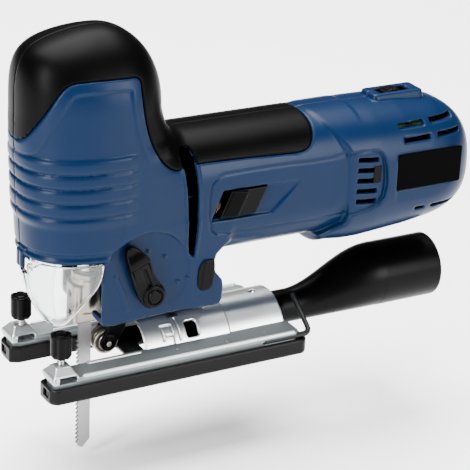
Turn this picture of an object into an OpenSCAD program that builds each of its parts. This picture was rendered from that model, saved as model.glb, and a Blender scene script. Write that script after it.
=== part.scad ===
// Barrel-grip jigsaw, millimetres. X runs along the tool (blade end -X, motor end +X),
// Y across it, Z up. The origin is where the blade's line crosses the sole's bottom plane.

/* [Head] */
// Length of the upright head ahead of its widest place
head_len = 43; // [42:0.5:44]
// Width of the head
head_w = 66; // [64:1:68]
// Height of the head's top above the sole
head_top = 201; // [198:1:204]
// Height of the skirt that holds the clear cover
skirt_z = 77.5; // [76:0.5:79]
// Wall thickness of the plastic shells
wall = 2.5; // [2:0.1:3]
// Thickness of the soft grip layer
grip_t = 2; // [1.5:0.1:2]

/* [Barrel and motor housing] */
// Height of the motor axis above the sole
axis_z = 105; // [104.5:0.1:105.5]
// Height of the barrel grip from top to bottom
barrel_h = 74.8; // [73:0.1:76]
// Width of the barrel grip across its flat sides
barrel_w = 60; // [59:0.5:61]
// Width of the motor housing
motor_w = 70; // [68:1:72]
// Rear end of the motor housing
motor_x1 = 241; // [238:1:244]

/* [Gear base] */
// Width of the gear base below the head
base_w = 56; // [55:0.5:57]
// Height of the gear base's underside above the sole
base_z = 39.5; // [39.5:0.1:41]

/* [Drive] */
// Teeth on the motor pinion
pinion_teeth = 12; // [12]
// Teeth on the driven gear
gear_teeth = 58; // [58]
// Gear module
gear_module = 0.9; // [0.9]
// Stroke of the blade
stroke = 20; // [16:1:20]
// Height of the crank below the gear axis at rest
crank_drop = 5; // [5]
// Radius of the plunger rod
plunger_r = 5; // [4.5:0.1:5]
// Radial clearance of every running fit
running_gap = 0.04; // [0.02:0.01:0.08]

/* [Blade] */
// Width of the blade
blade_w = 8; // [7:0.5:8]
// Thickness of the blade
blade_t = 1.3; // [1:0.1:1.5]
// Distance of the blade's tip below the sole at rest
blade_reach = 51.5; // [45:0.5:60]
// Tooth pitch of the blade
tooth_pitch = 2.7; // [2.5:0.1:3]

/* [Sole and foot] */
// Width of the plastic sole shoe
sole_w = 76; // [75:0.5:78]
// Height of the sole shoe
shoe_h = 9.7; // [9.5:0.1:10]
// Front end of the sole shoe
sole_x0 = -37.3; // [-39:0.1:-37]
// Rear end of the sole shoe
sole_x1 = 125; // [124:0.5:126]
// Outer radius of the foot's half tube
tube_r = 23.4; // [23.2:0.1:23.6]
// Height of the bevel axis above the sole
bevel_z = 4.6; // [4.5:0.1:4.8]
// Width of the slots for a fence bar
fence_slot_w = 9; // [8:0.5:9]
// Height of the slots for a fence bar
fence_slot_h = 6; // [5:0.5:6]

/* [Dust adapter] */
// Outer radius of the hose end
port_r = 19.5; // [19:0.1:20]
// Inner radius of the hose end
port_bore_r = 17.5; // [17:0.1:17.8]
// Rear end of the adapter
port_x1 = 230; // [225:1:235]

/* [Hidden] */
$fn = 48;
eps = 0.02;
body_blue = [0.07, 0.22, 0.45];
soft_black = [0.06, 0.06, 0.065];
zinc = [0.72, 0.74, 0.76];
steel = [0.6, 0.6, 0.62];

// head
head_cx = head_len - 41;             // widest place of the head's plan
head_back = 38;                      // length of the head behind it
head_shoulder_z = head_top - 43;     // where the dome starts
head_floor_z = 84;
head_back_x = 52;
barrel_cz = 138.7 - barrel_h / 2;     // its top stays level with the heel
motor_cz = 97.7;

// drive
pinion_r = pinion_teeth * gear_module / 2;
gear_r = gear_teeth * gear_module / 2;
gear_z = axis_z + pinion_r + gear_r;
crank_r = stroke / 2;
crank_y = sqrt(crank_r * crank_r - crank_drop * crank_drop);
yoke_z = gear_z - crank_drop;
bearing_r = 11;
bearing_x = 36;
bearing_w = 7;
shaft_r = 5;
journal_r = 4;
rear_bearing_x = 164;
case_back_x = 37.8;
upper_bush_z = [165.5, 175.5];
lower_bush_z = [head_floor_z + wall, 95.5];
core_x = [80, 126];
core_r = 16;
stator_half_w = 24.5;

// blade
blade_x0 = -5;
clamp_z = [31, 61];
clamp_r = 8.5;

// lower base parts
lever_pivot = [25.6, 53.3];
lever_tip = [14.1, 80.5];
lever_disc = [20, 62];
lever_disc_r = 30.5;
fork_pivot = [17, 66];
roller_c = [11.4, 15.2];
roller_r = 7.6;

// foot
foot_top = 14.7;
plate_t = 3;
foot_x = [-35.5, 120];
tube_x = [28, 118];
mouth_x = 26;                        // rear end of the blade opening
mouth_half_w = 21;
post_x = [-36, -20.5];
post_top = 20.6;
slot_x = [-32.2, -32.2 + fence_slot_w];
slot_z = [11.5, 11.5 + fence_slot_h];
knob_c = [-27.5, 27.5];
knob_z = [24.4, 38.4];
knob_r = 6;
key_r = 1.73;
key_y = -34.6;
key_z = 11.6;
key_x = 127.5;

// ---- helpers -------------------------------------------------------------

function signed_pow(v, p) = sign(v) * pow(abs(v), p);

// Points of a superellipse arc from angle a0 to a1, half axes a and b, exponent n
function arc_points(c, a, b, n, a0, a1, steps = 12) = [
  for (i = [0:steps]) let (t = a0 + (a1 - a0) * i / steps)
    [c[0] + a * signed_pow(cos(t), 2 / n), c[1] + b * signed_pow(sin(t), 2 / n)]
];

// A 2-D shape in (y, z) carried along X, one in (x, z) carried along Y
module along_x(x0, x1) translate([x0, 0, 0]) rotate([90, 0, 90]) linear_extrude(x1 - x0) children();
module along_y(y0, y1) translate([0, y1, 0]) rotate([90, 0, 0]) linear_extrude(y1 - y0) children();
module along_z(z0, z1) translate([0, 0, z0]) linear_extrude(z1 - z0) children();

module rod_x(x0, x1, r, y = 0, z = 0) translate([x0, y, z]) rotate([0, 90, 0]) cylinder(h = x1 - x0, r = r);
module rod_y(y0, y1, r, x = 0, z = 0) translate([x, y0, z]) rotate([-90, 0, 0]) cylinder(h = y1 - y0, r = r);
module rod_z(z0, z1, r, x = 0, y = 0) translate([x, y, z0]) cylinder(h = z1 - z0, r = r);

module box(x, y, z) translate([x[0], y[0], z[0]]) cube([x[1] - x[0], y[1] - y[0], z[1] - z[0]]);
module both_sides() { children(); mirror([0, 1, 0]) children(); }

// Rounded rectangle between two corners, from squares and circles so that it stays exact
module round_rect(p, q, r) {
  translate([p[0] + r, p[1]]) square([q[0] - p[0] - 2 * r, q[1] - p[1]]);
  translate([p[0], p[1] + r]) square([q[0] - p[0], q[1] - p[1] - 2 * r]);
  for (x = [p[0] + r, q[0] - r], y = [p[1] + r, q[1] - r]) translate([x, y]) circle(r);
}

// The side of the tool at y < 0 (side = -1) or y > 0 (side = 1)
module half_space(side) box([-60, 270], side < 0 ? [-60, 0] : [0, 60], [-70, 220]);

// ---- outer form; g shrinks it inwards ------------------------------------

module head_plan(g) polygon(concat(
  arc_points([head_cx, 0], head_len - g, head_w / 2 - g, 2.35, 90, 270, 14),
  arc_points([head_cx, 0], head_back - g, head_w / 2 - g, 3.3, -90, 90, 14)
));

module head_form(g) {
  h = head_top - head_shoulder_z - g;
  intersection() {
    along_z(head_floor_z, head_top) head_plan(g);
    along_y(-head_w, head_w) polygon(concat(
      arc_points([0, head_shoulder_z], 37.2 - g, h, 2.2, 0, 90, 8),
      arc_points([0, head_shoulder_z], 41.3 - g, h, 3.2, 90, 180, 8),
      [[-41.3 + g, head_floor_z], [head_back_x - g, head_floor_z], [head_back_x - g, 136], [44 - g, 141],
       [40 - g, 149.5]]
    ));
    along_x(-60, 60) polygon(concat(
      arc_points([0, 150], head_w / 2 - g, head_top - 150 - g, 2.9, 0, 180, 16),
      [[-head_w / 2 + g, head_floor_z], [head_w / 2 - g, head_floor_z]]
    ));
  }
}

module barrel_form(g) along_x(20, 150)
  polygon(arc_points([0, barrel_cz], barrel_w / 2 - g, barrel_h / 2 - g, 2.6, 0, 354, 59));

module motor_form(g) {
  r = motor_w / 2 - g;
  intersection() {
    along_x(130, motor_x1 - g) {
      for (z = [motor_cz - 6, motor_cz + 6]) translate([0, z]) circle(r);
      translate([-r, motor_cz - 6]) square([2 * r, 12]);
    }
    along_y(-50, 50) polygon([
      [136 + g, 66 + g], [147, 56.7 + g], [165, 56.7 + g], [222, 65.5 + g], [234 - g, 73 + g],
      [motor_x1 - g, 86], [motor_x1 - g, 112], [236 - g, 127 - g], [226, 135 - g],
      [212, 138.7 - g], [154, 138.7 - g], [140 + g, 136 - g]
    ]);
    along_z(50, 150) polygon(concat(
      [[150, r], [140, 29 - g], [130, 28 - g], [130, -28 + g], [140, -29 + g], [150, -r]],
      arc_points([200, 0], motor_x1 - 200 - g, r, 3.4, -90, 90, 14)
    ));
  }
}

module base_form(g) along_y(-base_w / 2 + g, base_w / 2 - g) polygon([
  [-3, base_z + g], [74 - g, base_z + g], [73.5 - g, 47], [66.5 - g, 58.5], [65.8 - g, 63.6],
  [68.5 - g, 69.5 + g], [76 - g, 73 + g], [84, 74 + g], [84, 90], [-3, 90]
]);

// Fillet between the back of the head and the top of the barrel
module heel_form(g) {
  edge = [[51, 134], [46.5, 138], [44, 141.5], [42, 145], [40.2, 149], [38.4, 154], [37.2, 160]];
  for (w = [[0, 9], [2.5, 17]]) along_y(-w[1] + g, w[1] - g)
    polygon(concat([[30, 160], [30, 130], [51 - g - w[0], 130]], [for (p = edge) p - [g + w[0], 0]]));
}

module outer_form(g) {
  head_form(g);
  heel_form(g);
  barrel_form(g);
  motor_form(g);
  base_form(g);
}

// The soft layer's outline seen from the side
module grip_zone() along_y(-60, 60) polygon([
  [-50, 143.5], [-41.5, 143.5], [-37, 154.7], [-31, 166.5], [-26, 173], [-20, 176.5], [-8, 178.7], [6, 180],
  [13.5, 180], [16, 177], [17, 170], [19, 156], [24.5, 140.5], [31, 130], [38, 126], [50, 125], [118, 122.3],
  [125, 124], [128, 130], [128, 160], [60, 160], [60, 220], [-50, 220]
]);

module grip_layer() intersection() {
  grip_zone();
  union() {
    head_form(0);
    heel_form(0);
    intersection() { barrel_form(0); box([40, 130], [-60, 60], [110, 150]); }
  }
  difference() {
    box([-60, 130], [-60, 60], [100, 220]);
    head_form(grip_t);
    heel_form(grip_t);
    barrel_form(grip_t);
  }
}

// ---- housing -------------------------------------------------------------

screw_spots = [[-26, 98], [-24, 172], [20, 181], [64, 92], [64, 118], [140, 86], [150, 128], [228, 119]];
boss_r = 4;
screw_r = 1.7;
screw_head_r = 3.2;

module vent_cuts() {
  // intake slots behind the grip, two rows of two above the label, and slots below it
  for (i = [0:4]) box([155.6, 169.2], [-50, 50], [85.6 + 6.4 * i, 88.3 + 6.4 * i]);
  for (x = [184, 206.3]) box([x, x + 18], [-50, 50], [126.4, 129.3]);
  for (x = [186, 209.3]) box([x, x + 18], [-50, 50], [119, 121.9]);
  for (x = [[196.5, 203.2], [207.8, 226.6]]) box(x, [-50, 50], [76.3, 78.3]);
}

module exhaust_cut() box([47, 52.5], [-50, 50], [78, 128]);

module inner_cavity() {
  intersection() { head_form(wall); box([-50, 60], [-50, 50], [head_floor_z + wall, head_top]); }
  heel_form(wall);
  barrel_form(wall);
  motor_form(wall);
  // lower base: closed above by the head's floor, open at the front
  along_y(-base_w / 2 + wall, base_w / 2 - wall) polygon([
    [-3.1, base_z + wall], [71, base_z + wall], [70.5, 46], [63.5, 58], [63, 64], [66, 71], [78, 76.5],
    [84, 77], [84, 90], [34, 90], [34, head_floor_z], [-3.1, head_floor_z]
  ]);
  rod_z(head_floor_z - 1, head_floor_z + wall + 1, 11);
}

switch_window = [[62.7, 90.7], [89.9, 90.7], [97.3, 106.3], [70.1, 106.3]];
dial_x = 195;
dial_z = 132.9;
gland_z = 104;

module skirt() difference() {
  along_z(skirt_z, head_floor_z + eps) head_plan(0);
  along_z(skirt_z - 1, head_floor_z + 1) head_plan(wall);
  box([-3.5, 60], [-50, 50], [70, head_floor_z + 1]);
}

module housing(side) color(body_blue) {
  difference() {
    intersection() {
      union() {
        outer_form(0);
        skirt();
        // saddle that rides on the foot's half tube
        along_x(30, 72) polygon([[-19.6, base_z + 1], [-7, 26.9], [7, 26.9], [19.6, base_z + 1]]);
        // lug for the clear cover's pin
        along_y(-5.2, 5.2) {
          translate(guard_pivot) circle(2.1);
          translate([guard_pivot[0] + 0.1, guard_pivot[1] - 1]) square([3.4, head_floor_z - guard_pivot[1] + 2]);
        }
        // speed dial's boss
        along_z(132, 141.4) round_rect([178, -8.6], [213.5, 8.6], 3);
      }
      half_space(side);
    }
    difference() {
      inner_cavity();
      for (p = screw_spots) rod_y(-60, 60, boss_r, p[0], p[1]);
      rod_y(-60, -base_w / 2 + wall, lever_disc_r + wall, lever_disc[0], lever_disc[1]);
    }
    // round flat panel that the orbital lever turns on
    rod_y(-60, -base_w / 2, lever_disc_r, lever_disc[0], lever_disc[1]);
    grip_layer();
    vent_cuts();
    exhaust_cut();
    for (p = screw_spots) {
      rod_y(-12, 60, screw_r, p[0], p[1]);
      rod_y(22, 60, screw_head_r + 0.3, p[0], p[1]);
    }
    rod_x(25, 80, tube_r + 0.35, z = bevel_z);
    box([-10, 27], [-14, 14], [30, base_z + wall + eps]);
    // bolt through the saddle
    rod_z(20, base_z + wall + 1, 3, 50);
    // switch opening and label recess in each side
    along_y(-60, -barrel_w / 2 + wall + 1) polygon(switch_window);
    both_sides() along_y(-60, -motor_w / 2 + 1) round_rect([180.6, 91.2], [225.2, 113.6], 1.5);
    // dial opening
    box([dial_x - 10.2, dial_x + 10.2], [-4.2, 4.2], [130, 150]);
    // cable gland at the rear, lever shaft, fork pin, blower slider
    rod_x(motor_x1 - wall - 1, motor_x1 + 1, 6, z = gland_z);
    rod_y(-30, 0, 4 + running_gap, lever_pivot[0], lever_pivot[1]);
    rod_y(-40, 40, 3, fork_pivot[0], fork_pivot[1]);
    box([56, 80], [-29, -20.5], [43.7, 66.3]);
    rod_y(-6, 6, guard_pin_r, guard_pivot[0], guard_pivot[1]);
  }
}

module housing_left() housing(-1);
module housing_right() housing(1);

module grip(side) color(soft_black) difference() {
  intersection() {
    grip_layer();
    half_space(side);
  }
  for (p = screw_spots) rod_y(20, 60, screw_head_r + 0.3, p[0], p[1]);
}
module grip_left() grip(-1);
module grip_right() grip(1);

module housing_screws() color(zinc) for (p = screw_spots) {
  rod_y(-12, 22, screw_r, p[0], p[1]);
  difference() {
    rod_y(22, 24.2, screw_head_r, p[0], p[1]);
    rod_y(23, 25, 1.3, p[0], p[1]);
  }
}

module label_plate(side) color(soft_black) scale([1, -side, 1])
  along_y(-motor_w / 2 + 0.1, -motor_w / 2 + 1) round_rect([180.6, 91.2], [225.2, 113.6], 1.5);
module label_plate_left() label_plate(-1);
module label_plate_right() label_plate(1);

// ---- switch and speed control --------------------------------------------

module switch_slider() color(soft_black) {
  along_y(-barrel_w / 2 - 1.2, -barrel_w / 2 + wall + 0.3) polygon([
    [67.4, 91.1], [89.4, 91.1], [96.6, 105.9], [74.6, 105.9]
  ]);
  along_y(-barrel_w / 2 - 2.4, -barrel_w / 2 - 1.2) polygon([
    [68.6, 92.4], [76, 92.4], [81.8, 104.6], [74.4, 104.6]
  ]);
}

module switch_link() color([0.15, 0.15, 0.16]) {
  box([76, 189], [-26.6, -25.1], [92, 97]);
  box([186, 189], [-26.6, -8.3], [92, 97]);
}

module switch_module() color([0.12, 0.12, 0.13]) {
  box([190, 217], [-12, 12], [84, 108]);
  box([193, 199], [-4, 4], [78, 84]);
  box([207, 213], [-4, 4], [78, 84]);
}

module speed_dial() color(soft_black) difference() {
  union() {
    rod_y(-3.6, 3.6, 9.2, dial_x, dial_z);
    rod_y(-6.5, 6.5, 1.8, dial_x, dial_z);
  }
  for (a = [0:15:345]) translate([dial_x, 0, dial_z]) rotate([0, a, 0])
    rod_y(-5, 5, 0.6, 0, 9.4);
}

module speed_board() color([0.1, 0.35, 0.2]) {
  box([172, 214], [-15, 15], [122, 123.6]);
  both_sides() difference() {
    box([dial_x - 4, dial_x + 4], [4.6, 6.9], [123.6, dial_z]);
    rod_y(4, 8, 1.8 + running_gap, dial_x, dial_z);
  }
}

module capacitor() color([0.75, 0.62, 0.2]) box([220, 231], [-8, 8], [82, 94]);

module cable_gland() color(soft_black) difference() {
  union() {
    rod_x(motor_x1 - wall - 3, motor_x1 + 5, 6, z = gland_z);
    rod_x(motor_x1, motor_x1 + 5, 8, z = gland_z);
    rod_x(motor_x1 - wall - 4, motor_x1 - wall - 0.4, 8, z = gland_z);
  }
  rod_x(motor_x1 - 20, motor_x1 + 10, 3.7, z = gland_z);
}

// ---- motor ---------------------------------------------------------------

module stator_core() color([0.45, 0.46, 0.48]) along_x(core_x[0], core_x[1]) translate([0, axis_z]) difference() {
  intersection() {
    circle(29.6);
    square([2 * stator_half_w, 70], center = true);
  }
  circle(core_r + 0.8);
  // winding windows beside the two poles
  both_windows();
}

module both_windows() for (s = [-1, 1]) intersection() {
  difference() { circle(22.5); circle(core_r); }
  translate([s * 18, 0]) square([14, 27], center = true);
}

module field_coils() color([0.72, 0.4, 0.2]) for (s = [-1, 1]) difference() {
  // sides in the core's windows, and ends that arch over the armature
  intersection() {
    rod_x(core_x[0] - 7, core_x[1] + 7, 22.3, z = axis_z);
    translate([0, 0, axis_z]) scale([1, 1, s]) box([60, 150], [-23, 23], [3, 23]);
  }
  rod_x(60, 150, core_r + 1.3, z = axis_z);
  box(core_x, [-23, 23], s < 0 ? [axis_z - 23, axis_z - 13] : [axis_z + 13, axis_z + 23]);
  box(core_x, [-11.2, 11.2], [60, 150]);
}

module armature_shaft() color(steel) {
  rod_x(19, 30.5, 4.2, z = axis_z);
  along_x(19.5, 30.5) translate([0, axis_z]) rotate(90) gear_outline(pinion_teeth, 0.75, 1.15);
  rod_x(30.5, bearing_x - 0.4, 4.8, z = axis_z);
  rod_x(bearing_x - 0.4, bearing_x + bearing_w + 0.4, journal_r, z = axis_z);
  rod_x(bearing_x + bearing_w + 0.4, 160, shaft_r, z = axis_z);
  rod_x(160, 175, journal_r, z = axis_z);
}

module armature_core() color([0.5, 0.5, 0.52]) difference() {
  rod_x(core_x[0], core_x[1], core_r, z = axis_z);
  rod_x(core_x[0] - 1, core_x[1] + 1, shaft_r, z = axis_z);
  for (a = [0:30:330]) translate([0, 0, axis_z]) rotate([a, 0, 0])
    box([core_x[0] - 1, core_x[1] + 1], [-1, 1], [11, 20]);
}

module armature_winding() color([0.72, 0.4, 0.2]) for (x = [[69, 79.9], [126.1, 138]]) difference() {
  rod_x(x[0], x[1], 14.3, z = axis_z);
  rod_x(x[0] - 1, x[1] + 1, shaft_r, z = axis_z);
}

module commutator() color([0.8, 0.48, 0.25]) difference() {
  union() { rod_x(140, 157, 11, z = axis_z); rod_x(140, 142, 12.5, z = axis_z); }
  rod_x(139, 158, shaft_r, z = axis_z);
  for (a = [0:15:345]) translate([0, 0, axis_z]) rotate([a, 0, 0])
    box([142.5, 158], [-0.3, 0.3], [9.8, 14]);
}

module fan() color([0.85, 0.85, 0.82]) {
  difference() {
    union() { rod_x(46, 59, 8, z = axis_z); rod_x(57.4, 59, 25, z = axis_z); }
    rod_x(45, 60, shaft_r, z = axis_z);
  }
  for (a = [0:30:330]) translate([0, 0, axis_z]) rotate([a, 0, 0])
    box([47, 57.5], [-0.7, 0.7], [7.6, 24.6]);
}

// A deep-groove bearing with running clearance on its shaft
module ball_bearing(x, r_out, r_in, w) color(zinc) difference() {
  rod_x(x, x + w, r_out, z = axis_z);
  rod_x(x - 1, x + w + 1, r_in + running_gap, z = axis_z);
  for (e = [x - eps, x + w - 0.6]) difference() {
    rod_x(e, e + 0.6 + eps, r_out - 2, z = axis_z);
    rod_x(e - 1, e + 2, r_in + 2, z = axis_z);
  }
}
module front_bearing() ball_bearing(bearing_x, bearing_r, journal_r, bearing_w);
module rear_bearing() ball_bearing(rear_bearing_x, bearing_r, journal_r, bearing_w);

module rear_bearing_seat() color([0.12, 0.12, 0.13]) difference() {
  union() {
    rod_x(rear_bearing_x, rear_bearing_x + 9, 14, z = axis_z);
    box([rear_bearing_x + 2, rear_bearing_x + 7], [-32.2, 32.2], [axis_z - 7, axis_z + 3]);
  }
  rod_x(rear_bearing_x - 1, rear_bearing_x + bearing_w, bearing_r, z = axis_z);
  rod_x(rear_bearing_x, rear_bearing_x + 20, 5.5, z = axis_z);
  box([rear_bearing_x, rear_bearing_x + 9], [-28, -25], [axis_z - 14, axis_z - 7]);
}

module brush_holders() color([0.75, 0.6, 0.3]) both_sides() difference() {
  box([143.5, 153.5], [13.5, 28], [axis_z - 5, axis_z + 5]);
  box([145, 152], [12, 27], [axis_z - 3.5, axis_z + 3.5]);
}

module carbon_brushes() color([0.2, 0.2, 0.2]) both_sides()
  box([145, 152], [11.2, 24], [axis_z - 3.5, axis_z + 3.5]);

// ---- gear drive ----------------------------------------------------------

function involute_angle(rb, r) = let (c = acos(min(1, rb / r))) tan(c) * 180 / PI - c;

// Involute teeth with an addendum and dedendum in modules
module gear_outline(teeth, addendum, dedendum, slack = 0.12) {
  rp = teeth * gear_module / 2;
  rb = rp * cos(20);
  ra = rp + addendum * gear_module;
  rr = rp - dedendum * gear_module;
  r0 = max(rb, rr);
  half = 90 / teeth - slack / rp * 90 / PI + involute_angle(rb, rp);
  flank = [for (k = [0:4]) let (r = r0 + (ra - r0) * k / 4) [r, half - involute_angle(rb, r)]];
  polygon([
    for (t = [0:teeth - 1]) let (c = 360 * t / teeth)
      for (p = concat(
        [[rr, c - flank[0][1]]],
        [for (k = [0:4]) [flank[k][0], c - flank[k][1]]],
        [for (k = [4:-1:0]) [flank[k][0], c + flank[k][1]]],
        [[rr, c + flank[0][1]]]
      )) [p[0] * cos(p[1]), p[0] * sin(p[1])]
  ]);
}

module gear_wheel() color(steel) difference() {
  union() {
    along_x(23.6, 27) translate([0, gear_z]) gear_outline(gear_teeth, 0.8, 1.15);
    along_x(21, 27) translate([0, gear_z]) difference() {
      gear_outline(gear_teeth, 0.8, 1.15);
      circle(22.5);
    }
    rod_x(21, 30.4, 9, z = gear_z);
  }
  rod_x(18, 32, shaft_r + running_gap, z = gear_z);
}

module gear_spindle() color(zinc) rod_x(20, case_back_x, shaft_r, z = gear_z);

module crank_disc() color(steel) difference() {
  union() {
    rod_x(18.6, 20.98, 15, z = gear_z);
    rod_x(14.5, 20, 2.5, y = crank_y, z = yoke_z);
  }
  rod_x(19.7, 22, shaft_r + 0.6, z = gear_z);
}

module crank_roller() color(zinc) difference() {
  rod_x(14.6, 18.4, 4, y = crank_y, z = yoke_z);
  rod_x(14, 19, 2.5, y = crank_y, z = yoke_z);
}

module gear_case() color([0.62, 0.63, 0.64]) difference() {
  union() {
    box([33, 45], [-24, 24], [88, 122]);
    box([33, case_back_x], [-6.4, 6.4], [121, 144]);
    box([31.2, 33.2], [-10, 10], [119, 167]);
    box([-9, 31.6], [-10, 10], upper_bush_z);
    box([20, 33.2], [-10, 10], [upper_bush_z[0], 167]);
    box([-9, 34], [-10, 10], lower_bush_z);
  }
  rod_x(32, bearing_x + bearing_w, bearing_r, z = axis_z);
  rod_x(40, 50, 7, z = axis_z);
  rod_x(30, 50, shaft_r, z = gear_z);
  rod_z(80, 100, 8);
  rod_z(150, 180, 8);
}

module bushing(z0, z1) color([0.72, 0.5, 0.28]) difference() {
  rod_z(z0, z1, 8);
  rod_z(z0 - 1, z1 + 1, plunger_r + running_gap);
}
module upper_bushing() bushing(upper_bush_z[0], upper_bush_z[1]);
module lower_bushing() bushing(lower_bush_z[0], lower_bush_z[1]);

module plunger_rod() color(zinc) rod_z(46, 181, plunger_r);

module yoke() color(steel) difference() {
  box([-1, 14], [-17, 17], [yoke_z - 9, yoke_z + 9]);
  rod_z(yoke_z - 10, yoke_z + 10, plunger_r);
  along_x(6.5, 15) for (y = [-11, 11]) translate([y, yoke_z]) circle(4.4);
  box([6.5, 15], [-11, 11], [yoke_z - 4.4, yoke_z + 4.4]);
}

// ---- blade and its clamp -------------------------------------------------

module blade_clamp() color([0.5, 0.5, 0.48]) difference() {
  union() {
    rod_z(clamp_z[0] + 6, clamp_z[1], clamp_r);
    along_z(clamp_z[0], clamp_z[1] - 6) round_rect([-10, -7], [7, 7], 3);
  }
  rod_z(46, clamp_z[1] + 1, plunger_r);
  box([blade_x0, blade_x0 + blade_w], [-blade_t / 2, blade_t / 2], [clamp_z[0] - 1, 45]);
  for (z = [37, 49]) rod_x(-12, -5, 2, z = z);
}

module clamp_screws() color([0.25, 0.25, 0.26]) for (z = [37, 49]) difference() {
  rod_x(-9.6, -5, 2, z = z);
  rod_x(-10, -8, 1, z = z);
}

blade_teeth = floor((blade_reach + 18) / tooth_pitch);
module blade() color([0.75, 0.75, 0.76]) difference() {
  along_y(-blade_t / 2, blade_t / 2) polygon(concat(
    [[blade_x0 + 0.4, 45], [blade_x0 + 0.4, -blade_reach + blade_teeth * tooth_pitch + 2.3]],
    [for (k = [blade_teeth:-1:1]) each [
      [blade_x0 - 0.8, -blade_reach + k * tooth_pitch + 1.2],
      [blade_x0 + 0.9, -blade_reach + k * tooth_pitch + 0.2]
    ]],
    [[blade_x0 + 0.4, -blade_reach + 1.6], [blade_x0 + 3.4, -blade_reach],
     [blade_x0 + blade_w, -blade_reach + 5], [blade_x0 + blade_w, 45]]
  ));
}

// ---- clear cover ---------------------------------------------------------

// Rows of the cover from top to bottom: height, front x, half width, rear x
guard_rows = [[76.4, -38.4, 30, -3.6], [70, -38.4, 29.5, -3.8], [60, -36.6, 26.5, -6], [50, -33.6, 21.5, -11],
  [40, -28.5, 14.5, -14.5], [31, -21.5, 5.5, -16]];
guard_steps = 16;
guard_pivot = [-34, 75.2];
guard_pin_r = 1.2;

function guard_ring(row, inset) = [
  for (i = [0:guard_steps]) let (t = -90 + 180 * i / guard_steps)
    [row[3] - (row[3] - row[1] - inset) * signed_pow(cos(t), 0.85),
     (row[2] - inset) * signed_pow(sin(t), 0.85), row[0]]
];

module chip_guard() color([0.85, 0.9, 0.92, 0.5]) {
  // hinge ears either side of the head's lug
  both_sides() difference() {
    along_y(5.6, 8.4) {
      translate(guard_pivot) circle(2.4);
      translate([-37.6, guard_pivot[1] - 2]) square([3.6, 3.2]);
    }
    rod_y(5, 9, guard_pin_r + running_gap, guard_pivot[0], guard_pivot[1]);
  }
  guard_shell();
}

module guard_shell() {
  n = guard_steps + 1;
  rows = len(guard_rows);
  outer = [for (r = guard_rows) each guard_ring(r, 0)];
  inner = [for (r = guard_rows) each guard_ring(r, 1.6)];
  m = len(outer);
  polyhedron(
    points = concat(outer, inner),
    faces = concat(
      [for (j = [0:rows - 2], i = [0:n - 2]) each [
        [j * n + i, (j + 1) * n + i + 1, j * n + i + 1], [j * n + i, (j + 1) * n + i, (j + 1) * n + i + 1],
        [m + j * n + i, m + j * n + i + 1, m + (j + 1) * n + i + 1],
        [m + j * n + i, m + (j + 1) * n + i + 1, m + (j + 1) * n + i]
      ]],
      [for (i = [0:n - 2]) each [
        [i, m + i + 1, m + i], [i, i + 1, m + i + 1],
        [(rows - 1) * n + i, m + (rows - 1) * n + i + 1, (rows - 1) * n + i + 1],
        [(rows - 1) * n + i, m + (rows - 1) * n + i, m + (rows - 1) * n + i + 1]
      ]],
      [for (j = [0:rows - 2]) each [
        [j * n, m + (j + 1) * n, (j + 1) * n], [j * n, m + j * n, m + (j + 1) * n],
        [j * n + n - 1, (j + 1) * n + n - 1, m + (j + 1) * n + n - 1],
        [j * n + n - 1, m + (j + 1) * n + n - 1, m + j * n + n - 1]
      ]]
    )
  );
}

module guard_pin() color(zinc) rod_y(-8.8, 8.8, guard_pin_r, guard_pivot[0], guard_pivot[1]);

// ---- orbital action and roller guide -------------------------------------

module orbital_lever() color(soft_black) {
  along_y(-35.4, -28.6) {
    translate(lever_pivot) circle(8.2);
    translate(lever_tip) circle(5);
    polygon([lever_pivot + [-7.6, -3], lever_pivot + [7.6, 3], lever_tip + [4.6, 2], lever_tip + [-4.6, -2]]);
  }
  rod_y(-28.6, -20, 4, lever_pivot[0], lever_pivot[1]);
}

module orbital_cam() color(steel) difference() {
  rod_y(-20, 10, 4, lever_pivot[0], lever_pivot[1]);
  box([lever_pivot[0] - 5, lever_pivot[0] - 1.6], [-9, 9], [lever_pivot[1] - 6, lever_pivot[1] + 6]);
}

module fork_side() {
  translate(roller_c) circle(4.6);
  polygon([roller_c + [-3.2, 3.2], roller_c + [3.2, -3.2], [21.5, 24], [21, 36], [19.5, 66], [14.5, 66], [14, 36], [14, 26]]);
  translate(fork_pivot) circle(4.6);
}

module roller_fork() color(soft_black) difference() {
  union() {
    both_sides() along_y(4.2, 6.8) fork_side();
    box([14.6, 17.4], [-6.8, 6.8], [40, 58]);
    rod_y(-6.8, 6.8, 4.6, fork_pivot[0], fork_pivot[1]);
    rod_y(-6.8, 6.8, 2, roller_c[0], roller_c[1]);
  }
  rod_y(-10, 10, 3 + running_gap, fork_pivot[0], fork_pivot[1]);
}

module fork_pin() color(zinc) rod_y(-27.8, 27.8, 3, fork_pivot[0], fork_pivot[1]);

module guide_roller() color([0.66, 0.64, 0.58]) translate([roller_c[0], 0, roller_c[1]]) rotate([90, 0, 0])
  rotate_extrude() polygon([
    [2 + running_gap, -3.9], [roller_r, -3.9], [roller_r, -1.1], [roller_r - 1.6, -1.1],
    [roller_r - 1.6, 1.1], [roller_r, 1.1], [roller_r, 3.9], [2 + running_gap, 3.9]
  ]);

module blower_slider() color([0.16, 0.15, 0.15]) along_y(-28.3, -21) polygon([
  [57.5, 48.2], [64, 48.2], [66.6, 53], [66.2, 66], [59.5, 66], [57.5, 60]
]);

// ---- foot ----------------------------------------------------------------

module clamp_saddle() color(zinc) difference() {
  intersection() {
    rod_x(41, 59, tube_r - 2.3, z = bevel_z);
    box([41, 59], [-9, 9], [15, 40]);
  }
  rod_x(40, 60, tube_r - 5.3, z = bevel_z);
  rod_z(15, 40, 3, 50);
}

module clamp_bolt() color([0.25, 0.25, 0.26]) difference() {
  union() {
    rod_z(20, base_z + wall, 3, 50);
    rod_z(16.2, 21.8, 5, 50);
  }
  rod_z(15, 19, 1.9, 50);
}

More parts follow.
